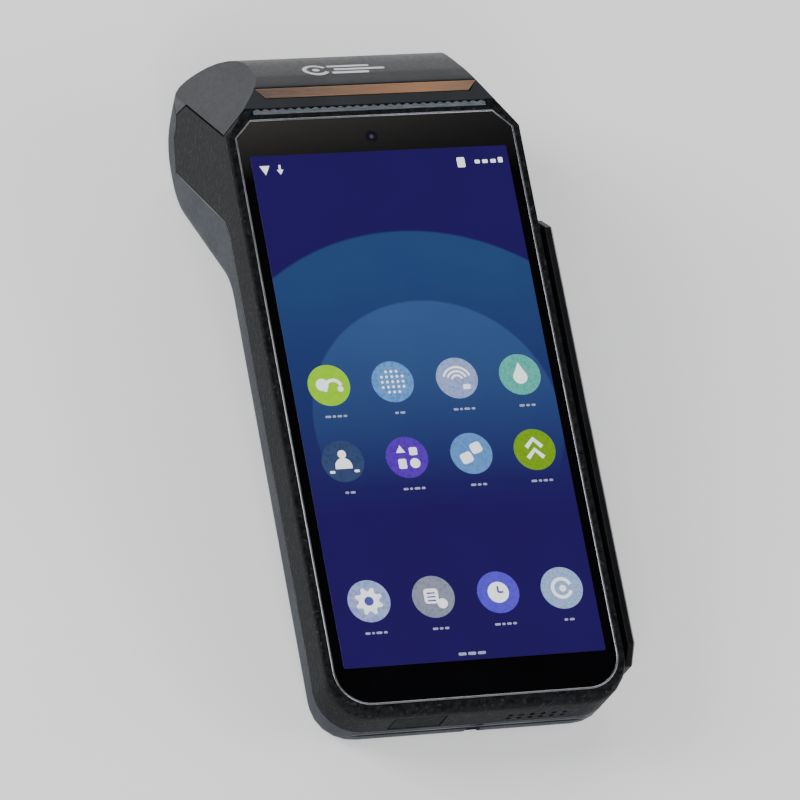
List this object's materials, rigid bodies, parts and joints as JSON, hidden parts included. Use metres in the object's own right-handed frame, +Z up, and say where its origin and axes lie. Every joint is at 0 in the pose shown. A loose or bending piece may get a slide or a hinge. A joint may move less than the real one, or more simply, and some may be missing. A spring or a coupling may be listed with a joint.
{
  "type": "card payment terminal",
  "caption": "Handheld card payment terminal with a touch screen, a receipt printer in a raised head under a hinged door, a side swipe rail and a chip card slot.",
  "frame": {"origin": "middle of the footprint, on the surface that the terminal rests on", "axes": "+X to the right as the user reads the screen, +Y towards the printer head, +Z up; the screen is tilted towards the user at -Y"},
  "size_m": [0.0746, 0.1714, 0.0467],
  "materials": {
    "black_plastic": "fine textured",
    "rail_plastic": "satin",
    "hood_plastic": "satin",
    "shell_plastic": "satin",
    "copper_finish": "satin metallic",
    "cover_glass": "gloss glass",
    "display": "gloss",
    "lens_glass": "gloss",
    "aluminium": "cast",
    "steel": "satin",
    "brass": "satin",
    "copper_foil": "satin",
    "rubber": "matte",
    "circuit_board": "lacquered",
    "white_plastic": "satin",
    "battery_wrap": "satin",
    "paper": "thermal coated",
    "cardboard": "plain",
    "ceramic": "glazed"
  },
  "bodies": {
    "terminal": {"front_housing": "black_plastic", "speaker": "black_plastic", "swipe_rail": "rail_plastic", "paper_cradle": "rail_plastic", "rear_housing": "shell_plastic", "cover_glass": "cover_glass", "display_panel": "display", "front_camera": "lens_glass", "rear_camera": "lens_glass", "mid_frame": "aluminium", "tear_bar": "steel", "shield_can": "steel", "sim_socket": "steel", "sam_socket": "steel", "coin_cell": "steel", "vibration_motor": "steel", "usb_port": "steel", "idler_axle": "steel", "transfer_axle": "steel", "printer_chassis": "steel", "stepper_motor": "steel", "hinge_pin_left": "steel", "hinge_pin_right": "steel", "housing_screw_1": "steel", "housing_screw_2": "steel", "housing_screw_3": "steel", "housing_screw_4": "steel", "magnetic_head_spring": "brass", "head_spring": "brass", "contactless_antenna": "copper_foil", "lower_foot_left": "rubber", "lower_foot_right": "rubber", "head_foot": "rubber", "main_board": "circuit_board", "chip_card_reader": "white_plastic", "flash_lens": "white_plastic", "battery_pack": "battery_wrap"},
    "printer_door": {"printer_door": "hood_plastic", "copper_trim": "copper_finish", "platen_bracket": "steel", "platen_bush_left": "brass", "platen_bush_right": "brass"},
    "platen": {"platen_roller": "rubber", "platen_shaft": "steel", "platen_gear": "white_plastic"},
    "idler": {"idler_gear": "white_plastic"},
    "transfer": {"transfer_gear": "white_plastic"},
    "pinion": {"motor_pinion": "brass", "motor_shaft": "steel"},
    "paper": {"paper_roll": "paper", "paper_core": "cardboard"},
    "release_button": {"door_release_button": "copper_finish"},
    "power_button": {"power_button": "black_plastic"},
    "volume_rocker": {"volume_rocker": "black_plastic"},
    "magnetic_head": {"magnetic_head": "steel"},
    "battery_door": {"battery_door": "shell_plastic"},
    "battery_latch": {"battery_latch": "black_plastic"},
    "usb_flap": {"usb_flap": "rubber"},
    "print_head": {"print_head": "ceramic", "heat_sink": "aluminium"}
  },
  "joints": [
    {"name": "printer_door_hinge", "type": "hinge", "parent": "terminal", "child": "printer_door", "pos_m": [-0.0015, 0.08131, 0.01194], "axis": [-1, 0, 0], "range_deg": [0, 75]},
    {"name": "platen_spin", "type": "hinge", "parent": "printer_door", "child": "platen", "pos_m": [-0.0015, 0.06343, 0.03723], "axis": [1, 0, 0], "continuous": true},
    {"name": "idler_spin", "type": "hinge", "parent": "terminal", "child": "idler", "pos_m": [-0.0015, 0.05589, 0.03676], "axis": [1, 0, 0], "continuous": true},
    {"name": "transfer_spin", "type": "hinge", "parent": "terminal", "child": "transfer", "pos_m": [-0.0015, 0.04641, 0.03199], "axis": [1, 0, 0], "continuous": true},
    {"name": "pinion_spin", "type": "hinge", "parent": "terminal", "child": "pinion", "pos_m": [-0.0015, 0.04098, 0.02607], "axis": [1, 0, 0], "continuous": true},
    {"name": "paper_roll_spin", "type": "hinge", "parent": "terminal", "child": "paper", "pos_m": [-0.0015, 0.06574, 0.01935], "axis": [1, 0, 0], "continuous": true},
    {"name": "door_release_press", "type": "slide", "parent": "terminal", "child": "release_button", "axis": [-1, 0, 0], "range_m": [0, 0.0015], "stiffness_N_per_m": 400},
    {"name": "power_button_press", "type": "slide", "parent": "terminal", "child": "power_button", "axis": [-1, 0, 0], "range_m": [0, 0.0005], "stiffness_N_per_m": 500},
    {"name": "volume_rock", "type": "hinge", "parent": "terminal", "child": "volume_rocker", "pos_m": [0.0331, 0.03867, 0.03575], "axis": [0, -0.1879, 0.9822], "range_deg": [-3, 3], "stiffness_Nm_per_rad": 0.02},
    {"name": "magnetic_head_press", "type": "slide", "parent": "terminal", "child": "magnetic_head", "axis": [-1, 0, 0], "range_m": [0, 0.0006], "stiffness_N_per_m": 300},
    {"name": "battery_door_hinge", "type": "hinge", "parent": "terminal", "child": "battery_door", "pos_m": [-0.0015, 0.01539, 0.01908], "axis": [1, 0, 0], "range_deg": [0, 60]},
    {"name": "battery_latch_slide", "type": "slide", "parent": "terminal", "child": "battery_latch", "axis": [0, -0.9822, -0.1879], "range_m": [0, 0.0022], "stiffness_N_per_m": 200},
    {"name": "usb_flap_hinge", "type": "hinge", "parent": "terminal", "child": "usb_flap", "pos_m": [-0.0155, -0.08439, 0.00844], "axis": [1, 0, 0], "range_deg": [0, 100]},
    {"name": "print_head_rock", "type": "slide", "parent": "terminal", "child": "print_head", "axis": [0, -0.9822, -0.1879], "range_m": [0, 0.0008], "stiffness_N_per_m": 400}
  ],
  "couplings": [
    {"joint": "idler_spin", "follows": "platen_spin", "ratio": -0.66667},
    {"joint": "transfer_spin", "follows": "platen_spin", "ratio": 0.5},
    {"joint": "pinion_spin", "follows": "platen_spin", "ratio": -1.5}
  ]
}
